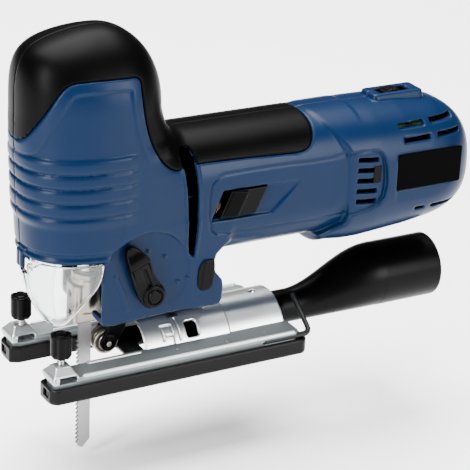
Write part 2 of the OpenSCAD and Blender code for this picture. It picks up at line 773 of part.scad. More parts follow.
// Outline of a sole part: rounded rear corners and an open mouth for the blade
module sole_outline(x0, x1, half_w, mouth, r, rear_cut) difference() {
  round_rect([x0, -half_w], [x1, half_w], r);
  polygon([[x0 - 1, -mouth - 3], [x0 + 5, -mouth], [mouth_x - 4, -mouth], [mouth_x, -mouth + 6],
    [mouth_x, mouth - 6], [mouth_x - 4, mouth], [x0 + 5, mouth], [x0 - 1, mouth + 3]]);
  for (s = [-1, 1]) polygon([[x1 + 1, s * (half_w - rear_cut)], [x1 + 1, s * (half_w + 1)], [x1 - rear_cut, s * (half_w + 1)]]);
}

module fence_post() difference() {
  // a short pyramid of three steps
  union() {
    box(post_x, [20.5, 37], [shoe_h, foot_top + 3]);
    box([post_x[0] + 2.2, post_x[1] - 2.2], [22, 34.5], [foot_top, post_top]);
  }
  box(slot_x, [10, 50], slot_z);
  rod_z(slot_z[1] - 1, post_top + 1, 2.5, knob_c[0], knob_c[1]);
}

module foot() color(zinc) difference() {
  union() {
    // top plate and its rim
    along_z(foot_top - plate_t, foot_top) sole_outline(foot_x[0], foot_x[1], sole_w / 2 - 1.2, mouth_half_w, 4, 3);
    difference() {
      along_z(2.7, foot_top) sole_outline(foot_x[0] + 1, foot_x[1] - 1, sole_w / 2 - 3, mouth_half_w + 0.6, 3, 2);
      box([post_x[1] + 2, foot_x[1] - 4], [-sole_w / 2 + 6, -tube_r + 1], [0, foot_top - plate_t + eps]);
      box([post_x[1] + 2, foot_x[1] - 4], [tube_r - 1, sole_w / 2 - 6], [0, foot_top - plate_t + eps]);
    }
    difference() {
      rod_x(tube_x[0], tube_x[1], tube_r, z = bevel_z);
      box([0, 130], [-40, 40], [-30, shoe_h]);
    }
    both_sides() fence_post();
  }
  rod_x(tube_x[0] - 12, tube_x[1] + 12, tube_r - 2, z = bevel_z);
  both_sides() box(slot_x, [10, 50], slot_z);
  both_sides() rod_z(slot_z[1] - 1, post_top + 1, 2.5, knob_c[0], knob_c[1]);
  // cross slot for the clamp bolt, window, holes
  for (a = [-50:5:50]) translate([50, 0, bevel_z]) rotate([a, 0, 0]) rod_z(15, 40, 3.6);
  both_sides() box([53, 64], [9, 20.6], [19, 30]);
  rod_z(20, 40, 2.6, 104);
  for (p = [[100, -29], [100, 29], [44, -28], [44, 28]]) rod_z(5, 20, 1.2, p[0], p[1]);
  // pocket for the stored key
  translate([0, key_y, key_z]) rod_x(96, 125, key_r + 0.15);
}

module sole_shoe() color(soft_black) difference() {
  along_z(0, shoe_h) sole_outline(sole_x0, sole_x1, sole_w / 2, mouth_half_w - 2, 5, 1);
  along_z(2.7, shoe_h + 1) sole_outline(foot_x[0], foot_x[1], sole_w / 2 - 2.8, mouth_half_w + 0.5, 3, 2);
  along_z(-1, 4) round_rect([38, -12], [62, 12], 4);
  rod_x(foot_x[1] - 5, sole_x1 + 5, 11.2, z = 13.4);
  // clip windows in the front ends
  both_sides() box([sole_x0 - 1, foot_x[0] + 1], [26, 33], [3.6, 7.4]);
}

module fence_screw(side) color(zinc) rod_z(slot_z[1] + 0.2, knob_z[0] + 8, 2.46, knob_c[0], side * knob_c[1]);
module fence_screw_left() fence_screw(-1);
module fence_screw_right() fence_screw(1);

module fence_knob(side) color(soft_black) translate([knob_c[0], side * knob_c[1], 0]) difference() {
  union() {
    rod_z(knob_z[0] + 1.5, knob_z[1], knob_r);
    rod_z(knob_z[0], knob_z[0] + 2, knob_r - 1.2);
  }
  rod_z(knob_z[0] - 1, knob_z[0] + 8, 2.5);
  for (a = [0:60:300]) rotate(a) rod_z(knob_z[0] - 1, knob_z[1] + 1, 1.3, knob_r + 0.5);
}
module fence_knob_left() fence_knob(-1);
module fence_knob_right() fence_knob(1);

module hex_key() color([0.14, 0.14, 0.15]) {
  translate([96.5, key_y, key_z]) rotate([0, 90, 0]) cylinder(h = key_x - 96.5, r = key_r, $fn = 6);
  translate([key_x, key_y, key_z]) rotate([-55, 0, 0]) {
    cylinder(h = 27, r = key_r, $fn = 6);
    sphere(key_r, $fn = 24);
  }
}

// Centre height and outer radius of the dust adapter where it swells from the neck to the hose end
port_x = [108, 131, 190];
port_neck = [13.4, 10.4];
port_end = [23.5, port_r];
port_rings = [port_x[0], for (k = [0:8]) port_x[1] + (port_x[2] - port_x[1]) * k / 8];

function smooth(t) = let (u = min(1, max(0, t))) u * u * (3 - 2 * u);
function port_at(x) = let (t = smooth((x - port_x[1]) / (port_x[2] - port_x[1])))
  port_neck + (port_end - port_neck) * t;

// Closed tapering tube form, smaller by inset and longer by over at both ends
module port_loft(inset, over) {
  sides = 32;
  n = len(port_rings);
  last = n * sides;
  polyhedron(
    points = [for (k = [0:n - 1], a = [0:sides - 1]) let (
      x = port_rings[k] + (k == 0 ? -over : k == n - 1 ? over : 0), c = port_at(port_rings[k]), t = 360 * a / sides)
      [x, (c[1] - inset) * cos(t), c[0] + (c[1] - inset) * sin(t)]],
    faces = concat(
      [[for (a = [0:sides - 1]) a], [for (a = [sides - 1:-1:0]) last - sides + a]],
      [for (k = [0:n - 2], a = [0:sides - 1]) let (b = (a + 1) % sides)
        each [[k * sides + a, (k + 1) * sides + a, (k + 1) * sides + b],
              [k * sides + a, (k + 1) * sides + b, k * sides + b]]]
    )
  );
}

module dust_adapter() color(soft_black) difference() {
  union() {
    port_loft(0.3, 1);
    rod_x(port_x[2] - 1, port_x1, port_r, z = port_end[0]);
  }
  port_loft(2.3, 3);
  rod_x(port_x[2] + 2, port_x1 + 1, port_bore_r, z = port_end[0]);
}

// ---- nodes ---------------------------------------------------------------

housing_left();
housing_right();
grip_left();
grip_right();
housing_screws();
label_plate_left();
label_plate_right();
switch_slider();
switch_link();
switch_module();
speed_dial();
speed_board();
capacitor();
cable_gland();
stator_core();
field_coils();
armature_shaft();
armature_core();
armature_winding();
commutator();
fan();
front_bearing();
rear_bearing();
rear_bearing_seat();
brush_holders();
carbon_brushes();
gear_case();
gear_spindle();
gear_wheel();
crank_disc();
crank_roller();
plunger_rod();
yoke();
upper_bushing();
lower_bushing();
blade_clamp();
clamp_screws();
blade();
chip_guard();
guard_pin();
orbital_lever();
orbital_cam();
roller_fork();
fork_pin();
guide_roller();
blower_slider();
clamp_saddle();
clamp_bolt();
foot();
sole_shoe();
fence_screw_left();
fence_screw_right();
fence_knob_left();
fence_knob_right();
hex_key();
dust_adapter();
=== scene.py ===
import bpy
import math
import numpy as np
from mathutils import Matrix


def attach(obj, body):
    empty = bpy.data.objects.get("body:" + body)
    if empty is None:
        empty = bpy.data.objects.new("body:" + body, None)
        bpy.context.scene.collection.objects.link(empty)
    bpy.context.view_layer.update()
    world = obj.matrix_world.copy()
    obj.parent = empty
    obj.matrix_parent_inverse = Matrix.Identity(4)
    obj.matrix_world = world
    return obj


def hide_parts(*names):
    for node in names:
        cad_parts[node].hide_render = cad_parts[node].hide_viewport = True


# Looks of the barrel-grip jigsaw. Shapes are written in millimetres in the row frame as
# signed distances, meshed here, and scaled to metres.
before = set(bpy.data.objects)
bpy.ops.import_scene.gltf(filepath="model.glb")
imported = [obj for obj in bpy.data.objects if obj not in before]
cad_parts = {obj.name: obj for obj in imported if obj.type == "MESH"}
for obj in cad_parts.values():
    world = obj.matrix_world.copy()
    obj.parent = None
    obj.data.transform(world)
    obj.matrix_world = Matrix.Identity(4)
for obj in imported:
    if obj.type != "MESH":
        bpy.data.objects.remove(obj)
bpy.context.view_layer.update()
MM = 0.001

# ---- distances -------------------------------------------------------------


def smin(a, b, k):
    h = np.clip(0.5 + 0.5 * (b - a) / k, 0, 1)
    return b + (a - b) * h - k * h * (1 - h)


def smax(a, b, k):
    return -smin(-a, -b, k)


def cut(a, b, k=0.5):
    return smax(a, -b, k)


def step01(t):
    t = np.clip(t, 0, 1)
    return t * t * (3 - 2 * t)


def join(d, t, e):
    """Two walls that meet at a right angle, rounded by e."""
    d, t = d + e, t + e
    return np.minimum(np.maximum(d, t), 0) + np.hypot(np.maximum(d, 0), np.maximum(t, 0)) - e


def slab(w, w0, w1):
    return np.abs(w - (w0 + w1) / 2) - (w1 - w0) / 2


def rod(u, v, w, r, w0, w1, e=0.4):
    return join(np.hypot(u, v) - r, slab(w, w0, w1), e)


def block(p, x, y, z, e=0.5):
    q = [slab(p[:, i], *r) + e for i, r in enumerate((x, y, z))]
    out = np.sqrt(sum(np.maximum(t, 0) ** 2 for t in q))
    return np.minimum(np.maximum(np.maximum(q[0], q[1]), q[2]), 0) + out - e


def poly(u, v, pts):
    """Signed distance to a closed polygon in a plane."""
    pts = np.asarray(pts, float)
    d = np.full(u.shape, 1e9)
    inside = np.zeros(u.shape, bool)
    for a, b in zip(pts, np.roll(pts, -1, 0)):
        e, wu, wv = b - a, u - a[0], v - a[1]
        t = np.clip((wu * e[0] + wv * e[1]) / (e @ e), 0, 1)
        d = np.minimum(d, (wu - e[0] * t) ** 2 + (wv - e[1] * t) ** 2)
        crosses = (a[1] <= v) != (b[1] <= v)
        side = e[0] * wv - e[1] * wu
        inside ^= crosses & ((side > 0) == (e[1] > 0))
    return np.where(inside, -1, 1) * np.sqrt(d)


def soften(pts, turns=2):
    """Corners cut off a closed outline, so that it curves."""
    p = np.asarray(pts, float)
    for _ in range(turns):
        q = np.roll(p, -1, 0)
        p = np.stack([0.75 * p + 0.25 * q, 0.25 * p + 0.75 * q], 1).reshape(-1, 2)
    return p


def capsule(p, a, b, ra, rb=None):
    a, b = np.array(a, float), np.array(b, float)
    rb = ra if rb is None else rb
    t = np.clip(((p - a) @ (b - a)) / ((b - a) @ (b - a)), 0, 1)
    return np.linalg.norm(p - a - t[:, None] * (b - a), axis=1) - (ra + (rb - ra) * t)


def bump(t):
    return np.where(np.abs(t) < 1, 0.5 + 0.5 * np.cos(np.pi * np.clip(t, -1, 1)), 0)


# ---- meshing ---------------------------------------------------------------

CORNERS = np.array([[i, j, k] for i in (0, 1) for j in (0, 1) for k in (0, 1)])
EDGES = [(a, b) for a in range(8) for b in range(a + 1, 8)
         if np.abs(CORNERS[a] - CORNERS[b]).sum() == 1]


def pack_key(c):
    c = c.astype(np.int64) + 4
    return (c[..., 0] << 42) | (c[..., 1] << 21) | c[..., 2]


def surface(field, lo, hi, step):
    """Vertices and quads of field = 0 inside a box: a net over the cells the surface crosses."""
    lo, hi = np.array(lo, float), np.array(hi, float)
    levels = max(0, int(math.log2(np.min(hi - lo) / step / 3)))
    levels = min(levels, 4)
    size = step * 2 ** levels
    n = np.ceil((hi - lo) / size).astype(int)
    cells = np.stack(np.meshgrid(*[np.arange(m) for m in n], indexing="ij"), -1).reshape(-1, 3)
    while True:
        d = field(lo + (cells + 0.5) * size)
        cells = cells[np.abs(d) < size * 1.6]
        if size <= step * 1.001:
            break
        cells = (cells[:, None] * 2 + CORNERS).reshape(-1, 3)
        size /= 2
    corner_keys, index = np.unique(pack_key(cells[:, None] + CORNERS).ravel(), return_inverse=True)
    mask = (1 << 21) - 1
    at = np.stack([corner_keys >> 42, (corner_keys >> 21) & mask, corner_keys & mask], -1) - 4
    value = field(lo + at * step)
    value = np.where(value == 0, 1e-9, value)[index].reshape(-1, 8)
    inside = value < 0
    live = inside.any(1) & ~inside.all(1)
    cells, value, inside = cells[live], value[live], inside[live]
    total, count = np.zeros((len(cells), 3)), np.zeros(len(cells))
    for a, b in EDGES:
        m = inside[:, a] != inside[:, b]
        t = value[m, a] / (value[m, a] - value[m, b])
        total[m] += CORNERS[a] + t[:, None] * (CORNERS[b] - CORNERS[a])
        count[m] += 1
    verts = lo + (cells + total / count[:, None]) * step
    keys = pack_key(cells)
    order = np.argsort(keys)
    sorted_keys = keys[order]

    def find(c):
        k = pack_key(c)
        i = np.minimum(np.searchsorted(sorted_keys, k), len(keys) - 1)
        return order[i], sorted_keys[i] == k

    quads = []
    for axis in range(3):
        e = [np.eye(3, dtype=int)[(axis + s) % 3] for s in (0, 1, 2)]
        far = int(e[0] @ [4, 2, 1])
        rows = np.nonzero(inside[:, 0] != inside[:, far])[0]
        c = cells[rows]
        ring = [find(c - e[1] - e[2]), find(c - e[2]), (rows, np.ones(len(rows), bool)), find(c - e[1])]
        q = np.stack([r[0] for r in ring], 1)[np.all([r[1] for r in ring], 0)]
        flip = ~inside[q[:, 2], 0]
        q[flip] = q[flip, ::-1]
        quads.append(q)
    for _ in range(2):
        h = step * 0.1
        f0 = field(verts)
        g = np.stack([field(verts + h * np.eye(3)[i]) - f0 for i in range(3)], 1) / h
        move = -(f0 / np.maximum((g * g).sum(1), 0.05))[:, None] * g
        far = np.linalg.norm(move, axis=1)[:, None]
        verts = verts + move * np.minimum(1, 0.4 * step / np.maximum(far, 1e-9))
    return verts, np.concatenate(quads)


def add_mesh(name, verts, faces, mat, body, nodes=(), smooth=True):
    """A piece from vertices in millimetres and faces of equal length."""
    me = bpy.data.meshes.new(name)
    faces = np.asarray(faces)
    n = faces.shape[1]
    me.vertices.add(len(verts))
    me.vertices.foreach_set("co", (np.asarray(verts) * MM).astype(np.float32).ravel())
    me.loops.add(faces.size)
    me.loops.foreach_set("vertex_index", faces.astype(np.int32).ravel())
    me.polygons.add(len(faces))
    me.polygons.foreach_set("loop_start", np.arange(0, faces.size, n, dtype=np.int32))
    me.update(calc_edges=True)
    me.validate()
    if smooth:
        me.shade_smooth()
    o = bpy.data.objects.new(name, me)
    bpy.context.scene.collection.objects.link(o)
    me.materials.append(mat)
    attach(o, body)
    if nodes:
        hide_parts(*nodes)
    return o


def piece(name, field, lo, hi, step, mat, body, nodes=()):
    pad = step * 2.5
    verts, quads = surface(field, np.array(lo) - pad, np.array(hi) + pad, step)
    return add_mesh(name, verts, quads, mat, body, nodes)


# ---- materials -------------------------------------------------------------


def material(name, rgb, rough, metal=0.0, grain=900.0, depth=0.00003, vary=0.12, brushed=None,
             dust=0.0, clear=0.0, shine=0.5):
    """Procedural finish: colour and roughness drift, fine grain bump, optional brushing and dust."""
    m = bpy.data.materials.new(name)
    m.use_nodes = True
    nt = m.node_tree
    nt.nodes.clear()
    new = nt.nodes.new
    link = nt.links.new
    out = new("ShaderNodeOutputMaterial")
    sh = new("ShaderNodeBsdfPrincipled")
    link(sh.outputs["BSDF"], out.inputs["Surface"])
    sh.inputs["Metallic"].default_value = metal
    sh.inputs["Specular IOR Level"].default_value = shine
    if clear:
        sh.inputs["Transmission Weight"].default_value = clear
        sh.inputs["IOR"].default_value = 1.46
    co = new("ShaderNodeTexCoord")
    where = co.outputs["Object"]
    if brushed:
        mp = new("ShaderNodeMapping")
        mp.inputs["Scale"].default_value = brushed
        link(where, mp.inputs["Vector"])
        fine_at = mp.outputs["Vector"]
    else:
        fine_at = where
    broad = new("ShaderNodeTexNoise")
    broad.inputs["Scale"].default_value = 28.0
    broad.inputs["Detail"].default_value = 5.0
    link(where, broad.inputs["Vector"])
    fine = new("ShaderNodeTexNoise")
    fine.inputs["Scale"].default_value = grain
    fine.inputs["Detail"].default_value = 3.0
    link(fine_at, fine.inputs["Vector"])
    tint = new("ShaderNodeMix")
    tint.data_type = "RGBA"
    tint.inputs["A"].default_value = (*[c * (1 - vary) for c in rgb], 1)
    tint.inputs["B"].default_value = (*[min(1, c * (1 + vary)) for c in rgb], 1)
    link(broad.outputs["Fac"], tint.inputs["Factor"])
    colour = tint.outputs["Result"]
    if dust:
        geo = new("ShaderNodeNewGeometry")
        edge = new("ShaderNodeMapRange")
        edge.inputs["From Min"].default_value = 0.5
        edge.inputs["From Max"].default_value = 0.62
        edge.inputs["To Max"].default_value = dust
        link(geo.outputs["Pointiness"], edge.inputs["Value"])
        worn = new("ShaderNodeMix")
        worn.data_type = "RGBA"
        worn.inputs["B"].default_value = (*[min(1, 0.35 * c + 0.25) for c in rgb], 1)
        link(edge.outputs["Result"], worn.inputs["Factor"])
        link(colour, worn.inputs["A"])
        colour = worn.outputs["Result"]
    link(colour, sh.inputs["Base Color"])
    r = new("ShaderNodeMapRange")
    r.inputs["To Min"].default_value = max(0.02, rough - 0.07)
    r.inputs["To Max"].default_value = rough + 0.07
    link(broad.outputs["Fac"], r.inputs["Value"])
    link(r.outputs["Result"], sh.inputs["Roughness"])
    b = new("ShaderNodeBump")
    b.inputs["Strength"].default_value = 0.6
    b.inputs["Distance"].default_value = depth
    link(fine.outputs["Fac"], b.inputs["Height"])
    link(b.outputs["Normal"], sh.inputs["Normal"])
    return m


BLUE = material("blue_plastic", (0.0006, 0.0074, 0.027), 0.32, grain=1500, depth=0.00002,
                vary=0.08, dust=0.02, shine=0.08)
RUBBER = material("soft_grip", (0.0003, 0.0003, 0.0003), 0.40, grain=2600, depth=0.00004,
                  vary=0.25, shine=0.035)
BLACK = material("black_plastic", (0.0004, 0.00036, 0.00036), 0.32, grain=1400, depth=0.00004,
                 vary=0.25, dust=0.01, shine=0.05)
ADAPTER = material("adapter_plastic", (0.0004, 0.0004, 0.0005), 0.36, grain=1800, depth=0.00003,
                   vary=0.25, shine=0.05)
SHOE = material("sole_plastic", (0.0009, 0.0008, 0.0008), 0.32, grain=1500, depth=0.00003,
                vary=0.25, dust=0.02, shine=0.08)
LABEL = material("label_black", (0.0002, 0.0002, 0.0002), 0.3, grain=1800, depth=0.00001,
                 vary=0.3, shine=0.01)
ZINC = material("zinc_plate", (0.62, 0.65, 0.66), 0.36, metal=1.0, grain=700, depth=0.00003,
                vary=0.08, brushed=(0.15, 1, 1))
CAST = material("cast_top", (0.13, 0.145, 0.15), 0.46, metal=0.6, grain=1900, depth=0.00005, vary=0.14)
RIM = material("rim_satin", (0.40, 0.42, 0.425), 0.38, metal=0.9, grain=1900, depth=0.00004, vary=0.12)
STEEL = material("bright_steel", (0.55, 0.55, 0.54), 0.30, metal=1.0, grain=900, depth=0.00002,
                 vary=0.1)
BLADE = material("blade_steel", (0.30, 0.29, 0.30), 0.40, metal=1.0, grain=1400, depth=0.00003,
                 vary=0.18, brushed=(1, 1, 0.1))
BRASSY = material("clamp_steel", (0.26, 0.235, 0.20), 0.35, metal=1.0, grain=900, depth=0.00004,
                  vary=0.2)
DARK = material("dark_steel", (0.006, 0.006, 0.0065), 0.38, metal=0.5, grain=1300,
                depth=0.00003, vary=0.25, shine=0.3)
CLEAR = material("clear_plastic", (0.90, 0.93, 0.94), 0.07, grain=300, depth=0.00001, vary=0.02,
                 clear=1.0)
COPPER = material("copper", (0.55, 0.22, 0.09), 0.3, metal=1.0, grain=1500, depth=0.00004, vary=0.2)
BRONZE = material("bronze", (0.42, 0.26, 0.12), 0.4, metal=1.0, grain=1200, depth=0.00003, vary=0.15)
IRON = material("laminations", (0.12, 0.12, 0.125), 0.45, metal=1.0, grain=900, depth=0.00005,
                vary=0.2, brushed=(12, 0.2, 0.2))
CARBON = material("carbon", (0.01, 0.01, 0.011), 0.6, grain=1500, depth=0.00004, vary=0.25)
BOARD = material("circuit_board", (0.01, 0.06, 0.025), 0.35, grain=800, depth=0.00002, vary=0.25)
FOIL = material("capacitor_film", (0.35, 0.26, 0.06), 0.35, grain=600, depth=0.00002, vary=0.15)
FLOOR = material("pale_floor", (0.9, 0.9, 0.9), 0.6, grain=60, depth=0.00002, vary=0.01)

# ---- outer form ------------------------------------------------------------

FRONT = ([70, 78, 90, 110, 125, 144, 160], [-38.6, -39.3, -40.1, -40.8, -41.2, -42.2, -41.7])
BACK = ([122, 138, 141, 145, 149, 154, 158], [50, 46, 44, 42, 40.2, 38.2, 37])
HALF_W = ([70, 78, 84, 100, 125, 160], [31.2, 31.6, 32.2, 33, 33.4, 33])
BARREL_Z, MOTOR_Z = 101.3, 97.7
SEAM = 0.06


def super2(u, v, n):
    return (np.abs(u) ** n + np.abs(v) ** n) ** (1 / n)


def head(p):
    x, y, z = p.T
    zc = np.minimum(z, 158)
    a = np.where(x < 2, 2 - np.interp(zc, *FRONT), np.interp(zc, *BACK) - 2)
    n = np.where(x < 2, 2.35, np.interp(z, [122, 142], [3.2, 2.5]))
    r = super2((x - 2) / a, y / np.interp(zc, *HALF_W), n)
    m = 2.2 + 1.4 * np.clip((2 - x) / a, 0, 1) ** 2
    t = np.maximum(z - 158, 0) / 43.2
    r = (r ** m + t ** m) ** (1 / m)
    d = (r - 1) * 33
    # five soft ribs round the front
    rib = 1 - np.abs(((z - 96.9) % 8.3 - 4.15) / 4.15) ** 4
    rib = rib * step01((z - 97) / 6) * (z < 138.4) * step01((17 - x) / 9)
    return d - 1.3 * rib


def barrel(p):
    x, y, z = p.T
    d = (super2(y / 30, (z - BARREL_Z) / 37.4, 2.6) - 1) * 31
    return smax(d, slab(x, 10, 160), 1)


MOTOR_TOP = ([150, 170, 190, 215, 236], [41, 41, 40.6, 38.6, 36])
MOTOR_LOW = ([145, 155, 165, 195, 216, 236], [40, 41, 41, 38.2, 34.8, 31])
SHOULDER = [(128, 150), (128.7, 143.5), (135.8, 135.6), (143.5, 126.5), (148.5, 119), (150.5, 112),
            (151.5, 80), (150, 74), (143, 70.5), (137, 66), (137, 50), (260, 50), (260, 150)]


def motor(p):
    x, y, z = p.T
    h = np.where(z > MOTOR_Z, np.interp(x, *MOTOR_TOP), np.interp(x, *MOTOR_LOW))
    w = np.interp(x, [130, 150, 170, 205, 240], [32, 34, 35, 35.3, 34])
    r = super2(y / w, (z - MOTOR_Z) / h, 2.5)
    t = np.maximum(x - 207, 0) / 35.2
    r = (r ** 2.9 + t ** 2.9) ** (1 / 2.9)
    return smax((r - 1) * 33, poly(x, z, SHOULDER), 3)


BASE = [(-3, 39.5), (-2, 37.6), (4, 36.8), (36, 38.6), (69.5, 37.4), (71.5, 40), (72.3, 49), (71.6, 52.6),
        (67.2, 58), (65.8, 63.6), (67.5, 69), (74, 76), (74, 92), (-3, 92)]


def base(p):
    x, y, z = p.T
    return join(poly(x, z, BASE), np.abs(y) - 28.2, 1.6)


BELT = soften([(60.5, 111), (66, 116.2), (79, 116.6), (105, 116.6), (137, 115.3), (150, 117.6),
               (168, 118.4), (173.2, 111), (174.8, 91), (168.4, 83.2), (150, 79.8), (140, 79.4),
               (67, 80.9), (60.5, 87)], 1)
RAMP = [(62, 89.6), (92.4, 89.2), (100.9, 88.9), (118.8, 106.1), (98, 106.6), (69.4, 107)]
SWITCH = [(62.7, 90.4), (90.2, 90.4), (97.8, 106.5), (70.1, 106.5)]
LABEL_BOX = (180.6, 225.2, 91.2, 113.6)
SELECTOR = soften([(55.2, 49.4), (61.4, 48.4), (65, 52.4), (65.8, 66.6), (63, 67), (59.4, 67.2),
                   (56.6, 65.4), (55, 60)], 1)
GRIP = soften([(-60, 143.5), (-43.4, 143.5), (-41.6, 147), (-37.7, 156.8), (-31.4, 169.8), (-27.7, 175.8),
               (-23.5, 179.6), (-16, 180.8), (8, 180.2), (16.6, 179.8), (16.4, 170.6), (18.3, 157.9),
               (21.4, 145.9), (25.7, 136.3), (32.3, 127.5), (39, 123.2), (43, 123), (50, 124.5),
               (85, 123.6), (118, 121.8), (124.5, 123.2), (128.6, 129), (129.8, 136),
               (130, 160), (70, 170), (70, 230), (-60, 230)], 2)
EXHAUST = soften([(44.3, 131.3), (46.1, 132.7), (49.8, 132.2), (52.4, 128.3), (53.9, 104.7), (53.3, 70.1),
                  (51.5, 70.4), (48.2, 74.6), (47.1, 105.8)], 1)
DIAL_X, DIAL_Z, BOSS_TOP = 195.0, 132.9, 141.4
DISC = (22, 64, 26.7)
LEVER_PIVOT, ROLLER, KNOB = (25.6, 53.3), (11.4, 15.2), 27.5
HINGE = (-34, 75.2)
screws = [(-26, 98), (-24, 172), (20, 181), (64, 92), (64, 118), (140, 86), (150, 128), (228, 119)]


def outer(p):
    """The plastic body as it looks before the grip, vents and openings are cut into it."""
    x, y, z = p.T
    ay = np.abs(y)
    d = smin(smax(head(p) + 0.9 * step01((84.2 - z) / 1.2), 77.5 - z, 1.2), barrel(p), 5)
    lip = poly(x, z, GRIP)
    # raised band below the grip's edge on the head
    d = d - 0.8 * step01((7 - lip) / 1.6) * step01((40 - x) / 6) * step01((z - 130) / 6)
    d = smin(d, base(p), 6)
    d = smin(d, motor(p), 1.6)
    # lower bead of the skirt
    bead = bump((z - 79.2) / 2.4) * step01((14 - x) / 12)
    d = d - 1.1 * bead
    # tab in front of the clear cover and the lug behind it that carries the hinge pin
    d = smin(d, block(p, (-40.6, -38), (-3.6, 3.6), (69.8, 80), 0.8), 0.8)
    lug = poly(x, z, [(-40, 82), (-37.4, 75.6), (-35.6, 72.8), (-32.8, 72.8), (-31.2, 75.6), (-28, 82)])
    d = smin(d, join(lug, ay - 5.2, 0.4), 0.4)
    d = cut(d, rod(x - HINGE[0], z - HINGE[1], y, 1.25, -12, 12, 0.1), 0.1)
    # flat side belt with its ramp for the thumb
    side = 29.2 + 2.6 * step01((x - 138) / 24)
    belt = poly(x, z, BELT)
    d = cut(d, smax(belt, side - ay, 0.8), 0.9)
    d = d + 0.55 * bump(belt / 1.1) * step01((ay - 24) / 2)
    ramp = smax(poly(x, z, RAMP), side - 0.2 - np.clip((118 - x) / 22, 0, 1) * 1.7 - ay, 0.5)
    d = cut(d, ramp, 0.7)
    # recessed panel for the lever and its dimples, only on the left
    disc = np.hypot(x - DISC[0], z - DISC[1]) - DISC[2]
    panel = smax(smax(disc, 28.4 + y, 0.8), 46.5 - z, 1)
    d = np.where(y < 0, cut(d, panel, 1.4), d)
    for cx, cz in ((23.7, 78.8), (34.1, 73.8), (42.6, 57), (48.9, 58)):
        d = smin(d, capsule(p, (cx, -28.4, cz), (cx, -28.2, cz), 1.1), 0.7)
    # rim round the exhaust slot and a swoosh down the cheek of the base
    d = d - 0.5 * bump((poly(x, z, EXHAUST) - 0.9) / 1.1) * step01((ay - 18) / 4)
    swoosh = poly(x, z, [(3.6, 66), (8.4, 55), (10.9, 45.5), (12.1, 45.5), (9.8, 55.4), (5, 66.4)])
    d = d - 0.55 * bump(swoosh / 1.5) * step01((ay - 22) / 4)
    # frame of the label
    d = cut(d, smax(join(slab(x, 181, 226), slab(z, 84.8, 116.4), 1.5), 34.4 - ay, 0.4), 0.8)
    # boss of the speed dial
    d = smin(d, join(join(slab(x, 178, 213.5), ay - 8.6, 3) + 0.35 * np.maximum(z - 138, 0),
                     slab(z, 120, BOSS_TOP), 0.9), 0.8)
    # saddle under the base
    saddle = join(poly(y, z, [(-19.6, 41), (-7, 26.9), (7, 26.9), (19.6, 41)]), slab(x, 30, 70.5), 0.6)
    d = smin(d, saddle, 1)
    return cut(d, np.hypot(y, z - 4.6) - 23.8, 0.4)


def cavity(p):
    """The hollow inside both halves."""
    x, y, z = p.T
    whole = outer(p) + 2.5
    floor = smax(slab(x, -60, 34), slab(z, 84, 86.5), 0.5)
    floor = cut(floor, np.hypot(x, y) - 11, 0.5)
    wall = smin(floor, slab(x, 33.5, 35.5) + np.maximum(z - 86, 0), 0.5)
    d = cut(whole, wall, 0.6)
    for cx, cz in screws:
        d = cut(d, np.hypot(x - cx, z - cz) - 4, 0.6)
    d = cut(d, smax(np.hypot(x - DISC[0], z - DISC[1]) - 33, y + 25.6, 0.6), 0.6)
    mouth = block(p, (-8, 1.5), (-25.6, 25.6), (42, 77), 0.5)
    under = smax(smax(head(p) + 2.4, z - 84, 0.4), x + 3.4, 0.4)
    d = smin(d, smin(smax(under, 70 - z, 0.4), mouth, 0.4), 0.4)
    return d


def openings(p):
    x, y, z = p.T
    ay = np.abs(y)
    far = ay - 60
    d = join(np.abs(x - DIAL_X) - 10.4, np.maximum(ay - 4.4, 128 - z), 0.6)
    slots = []
    for k in range(5):
        zz = z - (113.4 - 6.37 * k) + 0.09 * (x - 162)
        slots.append(join(slab(x, 155.6, 169.2), np.abs(zz + 1) - 1.35, 0.5))
    top_vents = ((184, 202, 126.4), (206.2, 224.4, 126.9), (186, 204.5, 119), (209.4, 227.2, 119.4))
    for x0, x1, z0 in top_vents:
        slots.append(join(slab(x, x0, x1), slab(z, z0, z0 + 2.9), 0.6))
    for x0, x1 in ((196.5, 203.2), (207.8, 226.6)):
        slots.append(join(slab(x, x0, x1), slab(z, 76.3, 78.3), 0.5))
    side = slots[0]
    for s in slots[1:]:
        side = np.minimum(side, s)
    side = np.maximum(np.maximum(side, 15 - ay), far)
    d = np.minimum(d, side)
    slot = np.maximum(poly(x, z, EXHAUST), 17 - ay)
    d = np.minimum(d, slot)
    d = np.minimum(d, np.where(y < 0, np.maximum(poly(x, z, SWITCH), 20 - ay), 99))
    stem = np.maximum(join(slab(x, 57.5, 63.7), slab(z, 51, 64.4), 1.2), 20.5 - ay)
    d = np.minimum(d, np.where(y < 0, stem, 99))
    label = join(slab(x, *LABEL_BOX[:2]), slab(z, *LABEL_BOX[2:]), 1.5)
    d = np.minimum(d, np.maximum(label, 33.6 - ay))
    d = np.minimum(d, rod(y, z - 104, x, 6.0, 232, 250))
    shaft = np.hypot(x - LEVER_PIVOT[0], z - LEVER_PIVOT[1]) - 4.1
    d = np.minimum(d, np.where(y < 0, np.maximum(shaft, np.abs(y + 24) - 8), 99))
    d = np.minimum(d, block(p, (-10, 27), (-14, 14), (26, 42.5), 0.5))
    for cx, cz in screws:
        d = np.minimum(d, np.where(y > 0, np.maximum(np.hypot(x - cx, z - cz) - 3.6, 22 - y), 99))
    return d


def shell(side):
    def field(p):
        y = p[:, 1]
        o = outer(p)
        d = cut(o, cavity(p), 0.5)
        zone = poly(p[:, 0], p[:, 2], GRIP)
        d = cut(d, np.maximum(zone - 0.35, -o - 2.0), 0.4)
        d = cut(d, openings(p), 0.5)
        return smax(d, -side * y + SEAM, 0.7)
    return field


